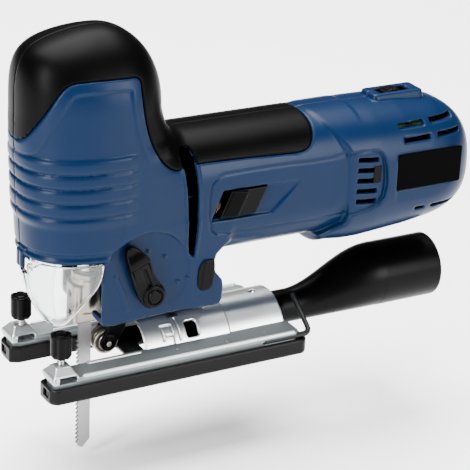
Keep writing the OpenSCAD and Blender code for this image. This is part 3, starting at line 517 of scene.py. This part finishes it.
def grip(side):
    def field(p):
        o = outer(p)
        zone = poly(p[:, 0], p[:, 2], GRIP)
        d = smax(smax(o - 0.15, -o - 1.95, 0.3), zone + 0.15, 1.0)
        d = cut(d, poly(p[:, 0], p[:, 2], EXHAUST) - 1.2, 0.5)
        for cx, cz in screws[1:3]:
            d = cut(d, np.where(p[:, 1] > 0, np.hypot(p[:, 0] - cx, p[:, 2] - cz) - 3.8, 99), 0.5)
        return smax(d, -side * p[:, 1] + SEAM, 0.6)
    return field


SHELL_STEP = 0.9
for side, word in ((-1, "left"), (1, "right")):
    ylo, yhi = (-36.5, 0) if side < 0 else (0, 36.5)
    piece("housing_" + word + "_shell", shell(side), (-44.5, ylo, 26), (243.5, yhi, 202.5), SHELL_STEP,
          BLUE, "housing", ("housing_" + word,))
    piece("grip_" + word + "_skin", grip(side), (-44.5, ylo, 120), (131, yhi, 202.5), 0.9,
          RUBBER, "housing", ("grip_" + word,))

# ---- small parts on the housing --------------------------------------------


def switch_field(p):
    x, y, z = p.T
    d = join(poly(x, z, [(67.4, 90.9), (89.8, 90.9), (97, 106), (74.5, 106)]), slab(y, -29.7, -25.6), 0.5)
    # a wedge for the thumb with its edge across
    u = x - (z - 90.9) * 0.467
    rise = np.clip((u - 67) / 9, 0, 1) * 2.6
    return smin(d, join(poly(x, z, [(68.2, 91.6), (77.4, 91.6), (84, 105.4), (75, 105.4)]),
                        slab(y, -29.7 - rise, -26), 0.4), 0.4)


piece("switch_thumb", switch_field, (62, -33, 89.5), (98, -25, 107.5), 0.35, BLACK, "switch",
      ("switch_slider",))


def label_field(side):
    return lambda p: join(join(slab(p[:, 0], LABEL_BOX[0] + 0.2, LABEL_BOX[1] - 0.2),
                               slab(p[:, 2], LABEL_BOX[2] + 0.2, LABEL_BOX[3] - 0.2), 1.4),
                          slab(side * p[:, 1], 33.4, 34.5), 0.15)


for side, word in ((-1, "left"), (1, "right")):
    y0, y1 = sorted((side * 33.3, side * 34.6))
    piece("label_" + word, label_field(side), (180, y0, 90.5), (226, y1, 114.5), 0.5, LABEL, "housing",
          ("label_plate_" + word,))


def dial_field(p):
    x, y, z = p.T
    dx, dz = x - DIAL_X, z - DIAL_Z
    a = np.arctan2(dz, dx)
    r = np.hypot(dx, dz)
    d = join(r - 9.5 + 0.35 * (0.5 + 0.5 * np.cos(24 * a)), np.abs(y) - 3.6, 0.4)
    return smin(d, rod(dx, dz, y, 1.8, -6.5, 6.5), 0.3)


piece("speed_wheel", dial_field, (185, -7, 124), (205, 7, 144), 0.4, BLACK, "dial", ("speed_dial",))


def selector_field(p):
    """A thumb plate over the base's side, on a stem that has room to slide down."""
    x, y, z = p.T
    d = join(poly(x, z, SELECTOR), slab(y, -29.6, -28.35), 0.5)
    stem = join(join(slab(x, 57.8, 63.4), slab(z, 55.6, 64), 1.2), slab(y, -29, -21), 0.3)
    facet = poly(x - 0.1 * (z - 58), y, [(50, -31), (58.4, -31), (58, -29.1), (50, -28.9)])
    return cut(smin(d, stem, 0.3), facet, 0.5)


piece("blower_thumb", selector_field, (55.5, -30, 47), (68, -20.5, 68), 0.45, BLACK, "blower",
      ("blower_slider",))

# ---- lever of the orbital action -------------------------------------------

LEVER = soften([(8.3, 81), (9.5, 84.6), (13.2, 85), (18.8, 80.6), (23.3, 74.8), (26.4, 64), (33.2, 56),
                (33, 49.6), (28.6, 45.4), (22, 45.8), (17, 52), (12, 65), (9.2, 74.4)], 1)


def lever_field(p):
    x, y, z = p.T
    u, v = x - LEVER_PIVOT[0], z - LEVER_PIVOT[1]
    # distance along the arm from the hub, and across it
    ux, uz = -0.389, 0.921
    t = u * ux + v * uz
    c = u * uz - v * ux
    top = 33.0 + 1.1 * bump((t - 22) / 12) + 2.0 * step01((t - 20.5) / 3) - 1.4 * step01((t - 26) / 5)
    d = join(poly(x, z, LEVER), np.maximum(-y - top, y + 29.9), 0.9)
    hub = rod(u, v, y, 6.6, -34.6, -28.8, 0.9)
    d = smin(d, hub, 0.5)
    cap = np.hypot(u, v)
    d = cut(d, smax(np.abs(cap - 4.3) - 0.35, y + 33.8, 0.2), 0.2)
    d = smin(d, rod(u, v, y, 3.6, -35.2, -33, 0.5), 0.2)
    groove = np.maximum(join(np.abs(c - 0.4) - 1.3, slab(t, 6.6, 18.6), 1.0), y + 32.0)
    d = cut(d, groove, 0.4)
    rim = np.abs(poly(x, z, LEVER) + 1.6) - 0.35
    d = cut(d, np.maximum(np.maximum(rim, y + 32.9), slab(t, 4, 21)), 0.3)
    return smin(d, rod(u, v, y, 3.9, -29.5, -20, 0.3), 0.3)


piece("orbital_arm", lever_field, (7.5, -36, 44.5), (34.5, -19.5, 86), 0.38, BLACK, "orbital_lever",
      ("orbital_lever",))

# ---- clear cover -----------------------------------------------------------

GUARD_Z = [28, 31, 35, 40, 50, 60, 70, 78]
GUARD_FRONT = [-18.5, -21.5, -25.4, -28.6, -33.6, -36.6, -38.2, -38.4]
GUARD_HALF = [2.5, 5.5, 9.9, 14.5, 21.5, 26.5, 29.5, 30.2]
GUARD_REAR = [-16.4, -16, -15.4, -14.5, -11, -6.2, -3.9, -3.6]


def spline(z, zs, vs):
    """Smooth curve through a few heights."""
    zs, vs = np.array(zs, float), np.array(vs, float)
    slope = np.gradient(vs, zs)
    i = np.clip(np.searchsorted(zs, z) - 1, 0, len(zs) - 2)
    h = zs[i + 1] - zs[i]
    t = np.clip((z - zs[i]) / h, 0, 1)
    return ((1 + 2 * t) * (1 - t) ** 2 * vs[i] + t * (1 - t) ** 2 * h * slope[i]
            + t * t * (3 - 2 * t) * vs[i + 1] + t * t * (t - 1) * h * slope[i + 1])


def cover_field(p):
    x, y, z = p.T
    front, half, rear = (spline(z, GUARD_Z, v) for v in (GUARD_FRONT, GUARD_HALF, GUARD_REAR))
    r = super2(np.minimum(x - rear, 0) / (rear - front), y / half, 2.35)
    o = (r - 1) * np.minimum(half, 22) * 0.94
    rib = step01((1.9 - np.abs(y)) / 0.7) * step01((-20 - x) / 6)
    d = smax(o - 0.5 * rib, -(o + 1.5 + 1.2 * rib), 0.3)
    d = smax(d, x - rear, 0.5)
    # the top edge dips in front, where it swings up inside the skirt
    top = 76.2 - 3.2 * step01((-32 - x) / 3) * step01((15 - np.abs(y)) / 3)
    d = smax(d, smax(31.4 - z, z - top, 0.1), 0.5)
    # thicker rolled edge behind, notch for the tab, and two hinge ears
    edge = np.hypot(x - rear + 0.8, np.abs(y) - half + 0.9) - 1.05
    d = smin(d, smax(edge, slab(z, 32.5, 75.8), 0.4), 0.5)
    d = cut(d, block(p, (-46, -30), (-4.7, 4.7), (66, 90), 0.8), 0.4)
    ear = poly(x, z, [(-37.8, 69), (-35, 69.5), (-31.8, 73.8), (-31.8, 76.2), (-33.4, 77.4),
                      (-35.4, 77), (-36.4, 73)])
    ear = join(ear, slab(np.abs(y), 5.6, 8.3), 0.3)
    d = smin(d, ear, 0.4)
    return cut(d, rod(x - HINGE[0], z - HINGE[1], y, 1.3, -12, 12, 0.1), 0.1)


piece("clear_cover", cover_field, (-40.4, -31, 31), (-2.8, 31, 77.8), 0.55, CLEAR, "cover",
      ("chip_guard",))

# ---- roller, fork, blade clamp ---------------------------------------------


def roller_field(p):
    x, y, z = p.T
    r = np.hypot(x - ROLLER[0], z - ROLLER[1])
    d = join(r - 7.5, np.abs(y) - 3.85, 0.7)
    d = cut(d, join(5.9 - r, np.abs(y) - 1.1, 0.2), 0.2)
    d = cut(d, smax(np.abs(r - 5.1) - 0.7, 3.2 - np.abs(y), 0.3), 0.3)
    return cut(d, r - 2.05, 0.1)


piece("roller_wheel", roller_field, (3.4, -4, 7.2), (19.4, 4, 23.2), 0.3, BRASSY, "roller",
      ("guide_roller",))

FORK = [(8.2, 18.4), (14.6, 12), (22, 24), (21.2, 36), (19.7, 66), (14.3, 66), (13.8, 36), (13.2, 27)]


def fork_field(p):
    x, y, z = p.T
    ay = np.abs(y)
    d = join(poly(x, z, FORK), slab(ay, 4.2, 6.6), 0.4)
    d = smin(d, rod(x - ROLLER[0], z - ROLLER[1], ay, 4.7, 4.2, 6.8, 0.5), 0.8)
    d = smin(d, rod(x - 17, z - 66, y, 4.6, -6.8, 6.8, 0.4), 0.5)
    d = smin(d, block(p, (14.6, 17.4), (-6.7, 6.7), (40, 58), 0.5), 0.5)
    d = cut(d, np.maximum(np.abs(np.hypot(x - ROLLER[0], z - ROLLER[1]) - 3.3) - 0.35, 6.3 - ay), 0.2)
    d = smin(d, rod(x - ROLLER[0], z - ROLLER[1], y, 1.95, -7.2, 7.2, 0.5), 0.1)
    return cut(d, rod(x - 17, z - 66, y, 3.08, -12, 12, 0.1), 0.1)


piece("fork_arms", fork_field, (6.2, -7.4, 10), (22.6, 7.4, 71), 0.4, BLACK, "fork", ("roller_fork",))


def rivet_field(p):
    x, y, z = p.T
    return join(np.hypot(x - ROLLER[0], z - ROLLER[1]) - 1.5, slab(np.abs(y), 7.0, 7.7), 0.4)


piece("fork_rivet", rivet_field, (9.6, -8, 13.4), (13.2, 8, 17), 0.2, STEEL, "fork")


def clamp_field(p):
    x, y, z = p.T
    d = join(np.hypot(x, y) - 8.5, slab(z, 37, 61), 0.9)
    lower = join(join(slab(x, -10, 7), np.abs(y) - 7, 3), slab(z, 31, 55), 0.9)
    d = smin(d, lower, 0.8)
    d = cut(d, join(np.abs(np.hypot(x, y) - 8.7) - 0.5, slab(z, 57.4, 58.4), 0.3), 0.3)
    d = cut(d, join(np.hypot(x, y) - 5.02, 46 - z, 0.1), 0.1)
    d = cut(d, np.maximum(np.maximum(slab(x, -5.05, 3.1), np.abs(y) - 0.68), z - 45.2), 0.1)
    for zc in (37, 49):
        d = cut(d, rod(y, z - zc, x, 2.1, -12, -4.9, 0.2), 0.15)
    return d


piece("blade_chuck", clamp_field, (-10.4, -9, 30.6), (9, 9, 61.4), 0.4, BRASSY, "plunger",
      ("blade_clamp",))

# ---- foot ------------------------------------------------------------------

TUBE = 4.6


def sole(x, y, x0, x1, half, mouth, r):
    """Plan distance of the sole: a rounded bar with an open mouth at the front."""
    ay = np.abs(y)
    d = join(slab(x, x0, x1), ay - half, r)
    gap = poly(x, ay, [(x0 - 9, -9), (x0 - 9, mouth + 3.6), (x0 - 1, mouth + 3), (x0 + 5, mouth),
                       (22, mouth), (26, mouth - 6), (26, -9)])
    return smax(d, -gap, 0.6)


def foot_cuts(p):
    """Openings shared by the plate, the tube and the posts."""
    x, y, z = p.T
    ay = np.abs(y)
    r = np.hypot(y, z - TUBE)
    s = np.abs(np.arctan2(y, z - TUBE)) * 23.4
    d = join(slab(x, -32.2, -21.8), slab(z, 11.5, 15.9), 0.3)
    d = np.minimum(d, np.hypot(x + KNOB, ay - KNOB) - 2.55 + np.maximum(11 - z, 0))
    d = np.minimum(d, smax(smax(np.abs(x - 50) - 3.4, s - 9.6, 0.5), 12 - z, 0.3))
    d = np.minimum(d, join(join(slab(x, 54.5, 62.5), slab(s, 14.4, 24.5), 1.6), 19 - r, 0.3))
    d = np.minimum(d, np.maximum(np.hypot(x - 107, y) - 2.0, 20 - z))
    for hx, hy in ((100, 29), (44, 28), (74, 31)):
        d = np.minimum(d, np.maximum(np.hypot(x - hx, ay - hy) - 0.7, 12.6 - z))
    return np.minimum(d, rod(ay - 34.6, z - 11.6, x, 1.85, 96, 130, 0.1))


def plate_field(p):
    x, y, z = p.T
    ay = np.abs(y)
    plan = sole(x, y, -35.5, 120, 36.6, 21, 4)
    plan = smax(plan, (x + ay - 153.5) * 0.7071, 0.5)
    d = join(plan, slab(z, 11.7, 14.6), 0.6)
    skirt = join(sole(x, y, -34.5, 119, 35, 21.6, 3), slab(z, 2.8, 13.5), 0.4)
    skirt = cut(skirt, smax(smax(slab(x, -18, 116), slab(ay, 22.4, 31), 0.5), z - 12, 0.4), 0.4)
    d = smin(d, skirt, 0.3)
    d = cut(d, smax(np.hypot(y, z - TUBE) - 22.4, slab(x, 20, 140), 0.3), 0.3)
    return cut(d, foot_cuts(p), 0.3)


def tube_field(p):
    """The half tube in three steps, with its seams and the outline of its latch."""
    x, y, z = p.T
    r = np.hypot(y, z - TUBE)
    s = np.abs(np.arctan2(y, z - TUBE)) * 23.4
    outer_r = 23.3 - 0.6 * step01((x - 82) / 0.3) + 0.3 * step01((18 - np.abs(x - 64)) / 0.3)
    d = smax(smax(r - outer_r, 21.4 - r, 0.5), slab(x, 28, 118), 0.5)
    d = smax(d, 11.9 - z, 0.2)
    d = cut(d, foot_cuts(p), 0.4)
    lines = ((39.4, 40.4, 14.5, 24), (39.4, 46.6, 14.5, 15.5), (45.6, 46.6, 14.5, 21.6),
             (42, 46.6, 20.6, 21.6), (49.6, 50.4, 11, 25))
    for x0, x1, s0, s1 in lines:
        d = cut(d, np.maximum(join(slab(x, x0, x1), slab(s, s0, s1), 0.2), outer_r - 1.1 - r), 0.2)
    return d


def post_field(p):
    """Front posts with their fence slots, and the rails along the sole."""
    x, y, z = p.T
    ay = np.abs(y)
    rail = np.hypot(np.maximum(slab(x, -17, 115.5), 0), np.hypot(ay - 35.6, z - 14.5)) - 1.25
    inner = np.hypot(np.maximum(slab(x, -9, 23), 0), np.hypot(ay - 22.7, z - 14.5)) - 1.25
    rails = np.minimum(rail, inner)
    q = np.abs(x + 28.2) - 7.5
    w = np.abs(ay - 28.8) - 7.9
    low = join(join(q, w, 1.6), slab(z, 11.8, 16.4), 0.8)
    rise = np.clip(z - 15, 0, 7)
    top = join(join(q + 0.62 * rise - 0.4, w + 0.85 * rise - 0.5, 1.2), slab(z, 14, 20.6), 0.6)
    d = smin(smin(low, top, 0.5), rails, 0.5)
    return cut(d, foot_cuts(p), 0.3)


piece("foot_plate", plate_field, (-35.8, -37, 2.6), (120.4, 37, 15), 0.6, CAST, "foot", ("foot",))
piece("foot_tube", tube_field, (27.6, -23.8, 11.6), (118.4, 23.8, 28.4), 0.5, ZINC, "foot")
piece("foot_posts", post_field, (-36.2, -37.2, 11.6), (117.2, 37.2, 21), 0.5, RIM, "foot")


def shoe_field(p):
    x, y, z = p.T
    ay = np.abs(y)
    plan = sole(x, y, -37.3, 125, 38, 19, 5)
    plan = smax(plan, (x + ay - 161) * 0.7071, 0.5)
    plan = smax(plan, (-x + ay - 72) * 0.7071, 0.5)
    d = join(plan, slab(z, 0, 9.6), 1.0)
    inner = sole(x, y, -35.7, 120.2, 35.4, 21.4, 3)
    d = cut(d, smax(inner, 2.7 - z, 0.3), 0.3)
    d = cut(d, join(join(slab(x, 38, 62), ay - 12, 4), z - 4, 0.2), 0.3)
    d = cut(d, rod(y, z - 13.4, x, 11.2, 115, 130, 0.1), 0.2)
    # clip windows in the front ends, each with its catch
    both = np.stack([x, ay, z], 1)
    d = cut(d, block(both, (-40, -34), (26, 33), (3.4, 7.6), 0.5), 0.3)
    d = smin(d, block(both, (-36.6, -35.2), (28.2, 30.8), (3, 8), 0.3), 0.1)
    # shallow step along the lower edge
    return d + 0.35 * step01((1.9 - z) / 0.5) * step01((ay - 30) / 4)


piece("sole_slider", shoe_field, (-37.6, -38.3, 0), (125.3, 38.3, 9.9), 0.62, SHOE, "foot",
      ("sole_shoe",))

for side, word in ((-1, "left"), (1, "right")):
    def knob_field(p, side=side):
        x, y, z = p.T
        u, v = x + KNOB, y - side * KNOB
        r = np.hypot(u, v)
        a = np.arctan2(v, u) + 0.35
        body = r - 6.15 + 0.85 * np.abs(np.cos(3 * a)) ** 6
        d = join(body + 0.9 * step01((26.6 - z) / 1.6), slab(z, 24.4, 38.2), 0.8)
        d = cut(d, smax(np.abs(r - 3.6) - 0.5, 37.6 - z, 0.3), 0.3)
        d = smin(d, join(r - 2.6, slab(z, 37, 38.4), 0.4), 0.3)
        return cut(d, join(r - 2.5, z - 32.4, 0.1), 0.1)

    def screw_field(p, side=side):
        x, y, z = p.T
        u, v = x + KNOB, y - side * KNOB
        r = np.hypot(u, v)
        a = np.arctan2(v, u) / (2 * math.pi)
        return smax(r - 2.18 - 0.26 * np.cos(2 * math.pi * (z / 1.25 - a)), slab(z, 17.8, 32.3), 0.3)

    mid = side * KNOB
    piece("knob_" + word, knob_field, (-34, mid - 6.4, 24.2), (-21, mid + 6.4, 38.6), 0.35,
          BLACK, "fence_knob_" + word, ("fence_knob_" + word,))
    piece("knob_screw_" + word, screw_field, (-30.2, mid - 2.7, 17.6), (-24.8, mid + 2.7, 32.5), 0.24,
          STEEL, "fence_knob_" + word, ("fence_screw_" + word,))

# ---- hex key, dust adapter, cord inlet -------------------------------------


def swept(name, path, ring, mat, body, nodes=()):
    """A closed section carried along a path of points, with capped ends."""
    path = np.array(path, float)
    tang = np.gradient(path, axis=0)
    tang /= np.linalg.norm(tang, axis=1)[:, None]
    up = np.array([0.0, 0.574, -0.819])
    verts, faces = [], []
    n = len(ring)
    for q, t in zip(path, tang):
        side = np.cross(up, t)
        side /= np.linalg.norm(side)
        top = np.cross(t, side)
        verts += [q + c[0] * side + c[1] * top for c in ring]
    for k in range(len(path) - 1):
        for i in range(n):
            j = (i + 1) % n
            a, b, c, e = k * n + i, k * n + j, (k + 1) * n + j, (k + 1) * n + i
            faces += [(a, c, b), (a, e, c)]
    m = len(verts)
    verts += [path[0], path[-1]]
    for i in range(n):
        j = (i + 1) % n
        faces += [(m, i, j), (m + 1, m - n + j, m - n + i)]
    return add_mesh(name, verts, np.array(faces)[:, ::-1], mat, body, nodes, smooth=False)


KEY_DIR = np.array([0, math.sin(math.radians(55)), math.cos(math.radians(55))])
corner = np.array([127.5, -34.6, 11.6])
key_path = [(96.6, -34.6, 11.6), (97.0, -34.6, 11.6), (110, -34.6, 11.6)]
key_path += [corner + 4 * (math.sin(t) - 1) * np.array([1, 0, 0]) + 4 * (1 - math.cos(t)) * KEY_DIR
             for t in np.linspace(0, math.pi / 2, 9)]
key_path += [corner + 15 * KEY_DIR, corner + 26.4 * KEY_DIR, corner + 26.8 * KEY_DIR]
hexagon = [(r * math.cos(t), r * math.sin(t)) for t0 in np.arange(6) * math.pi / 3
           for r, t in ((1.70, t0 + 0.06), (1.70, t0 + math.pi / 3 - 0.06))]
swept("hex_key_bar", key_path, hexagon, DARK, "hex_key", ("hex_key",))


def adapter_field(p):
    x, y, z = p.T
    t = step01((x - 131) / 59)
    c = 13.4 + 10.1 * t
    r = 10.1 + 9.2 * t
    slope = 1 / np.sqrt(1 + 0.06 * (np.abs(x - 160) < 34))
    o = (np.hypot(y, z - c) - r - 0.12 * (x > 190)) * slope
    # collar and grip ridge where it plugs into the foot
    o = o - 0.7 * step01((x - 109.4) / 0.6) * step01((115.6 - x) / 0.6) - 0.5 * bump((x - 118.6) / 1.2)
    d = smax(o, -(o + 1.9), 0.3)
    return smax(d, slab(x, 107.2, 229.8), 0.8)


piece("dust_hose_adapter", adapter_field, (107, -20, 2.6), (230, 20, 43.6), 0.8, ADAPTER, "dust_adapter",
      ("dust_adapter",))


def gland_field(p):
    x, y, z = p.T
    r = np.hypot(y, z - 104)
    d = join(r - 5.95, slab(x, 234.6, 246), 0.3)
    d = smin(d, join(r - 7.9, slab(x, 241.1, 245.9), 1.0), 0.3)
    d = smin(d, join(r - 7.9, slab(x, 233.6, 237), 0.5), 0.2)
    d = cut(d, smax(np.abs(r - 6.4) - 0.4, 245.2 - x, 0.2), 0.3)
    return cut(d, join(r - 3.7, slab(x, 230, 250), 0.2), 0.5)


piece("cord_inlet", gland_field, (233.4, -8.2, 95.8), (246.2, 8.2, 112.2), 0.4, BLACK, "housing",
      ("cable_gland",))

# ---- finishes of the nodes that stay in view as they are -------------------

FINISH = {
    "housing_screws": ZINC, "switch_link": BLACK, "switch_module": BLACK, "speed_board": BOARD,
    "capacitor": FOIL, "stator_core": IRON, "field_coils": COPPER, "armature_shaft": STEEL,
    "armature_core": IRON, "armature_winding": COPPER, "commutator": COPPER, "fan": BLACK,
    "front_bearing": STEEL, "rear_bearing": STEEL, "rear_bearing_seat": BLACK,
    "brush_holders": BRONZE, "carbon_brushes": CARBON, "gear_case": DARK, "gear_spindle": STEEL,
    "gear_wheel": STEEL, "crank_disc": STEEL, "crank_roller": STEEL, "plunger_rod": STEEL,
    "yoke": STEEL, "upper_bushing": BRONZE, "lower_bushing": BRONZE, "clamp_screws": DARK,
    "blade": BLADE, "guard_pin": ZINC, "orbital_cam": STEEL, "fork_pin": ZINC, "clamp_saddle": ZINC,
    "clamp_bolt": DARK,
}
for node, mat in FINISH.items():
    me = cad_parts[node].data
    me.materials.clear()
    me.materials.append(mat)

# ---- camera, light, floor --------------------------------------------------


def look(at, az, el, roll):
    """Camera matrix at a point, from its azimuth, elevation and roll in degrees."""
    a, e, r = (math.radians(v) for v in (az, el, roll))
    back = np.array([math.sin(a) * math.cos(e), -math.cos(a) * math.cos(e), math.sin(e)])
    right = np.array([math.cos(a), math.sin(a), 0.0])
    up = np.cross(back, right)
    c, s = math.cos(r), math.sin(r)
    axes = np.array([c * right + s * up, c * up - s * right, back]).T
    m = np.eye(4)
    m[:3, :3], m[:3, 3] = axes, np.array(at) * MM
    return Matrix(m.tolist())


cam_data = bpy.data.cameras.new("camera")
cam = bpy.data.objects.new("camera", cam_data)
bpy.context.scene.collection.objects.link(cam)
bpy.context.scene.camera = cam
cam_data.sensor_width = 36
cam_data.lens = 147.42
cam_data.dof.use_dof = False
cam_data.clip_start, cam_data.clip_end = 0.05, 20
cam.matrix_world = look((-416.4, -884.9, 500.3), -29.99, 23.07, 2.56)

floor_z = -0.0575
floor_me = bpy.data.meshes.new("floor")
corners = [(x, y, floor_z) for x, y in ((-6, -6), (6, -6), (6, 6), (-6, 6))]
floor_me.from_pydata(corners, [], [(0, 1, 2, 3)])
floor_me.materials.append(FLOOR)
floor = bpy.data.objects.new("floor", floor_me)
bpy.context.scene.collection.objects.link(floor)


def lamp(name, at, to, size, power, colour=(1, 1, 1)):
    data = bpy.data.lights.new(name, "AREA")
    data.shape = "RECTANGLE"
    data.size, data.size_y = size
    data.energy = power
    data.color = colour
    o = bpy.data.objects.new(name, data)
    bpy.context.scene.collection.objects.link(o)
    at, to = np.array(at, float), np.array(to, float)
    back = (at - to) / np.linalg.norm(at - to)
    right = np.cross((0, 0, 1), back)
    right = right / np.linalg.norm(right)
    m = np.eye(4)
    m[:3, :3] = np.array([right, np.cross(back, right), back]).T
    m[:3, 3] = at
    o.matrix_world = Matrix(m.tolist())
    return o


lamp("overhead", (0.1, 0.5, 2.6), (0.1, 0.1, 0), (2.6, 2.6), 480)
lamp("left_softbox", (-1.1, -0.5, 0.55), (0.05, 0, 0.1), (0.3, 0.9), 40)
lamp("right_softbox", (0.75, -1.2, 0.45), (0.12, 0, 0.1), (0.3, 0.7), 26)

world = bpy.data.worlds.new("studio")
bpy.context.scene.world = world
world.use_nodes = True
bg = world.node_tree.nodes["Background"]
bg.inputs["Color"].default_value = (1, 1, 1, 1)
bg.inputs["Strength"].default_value = 0.12
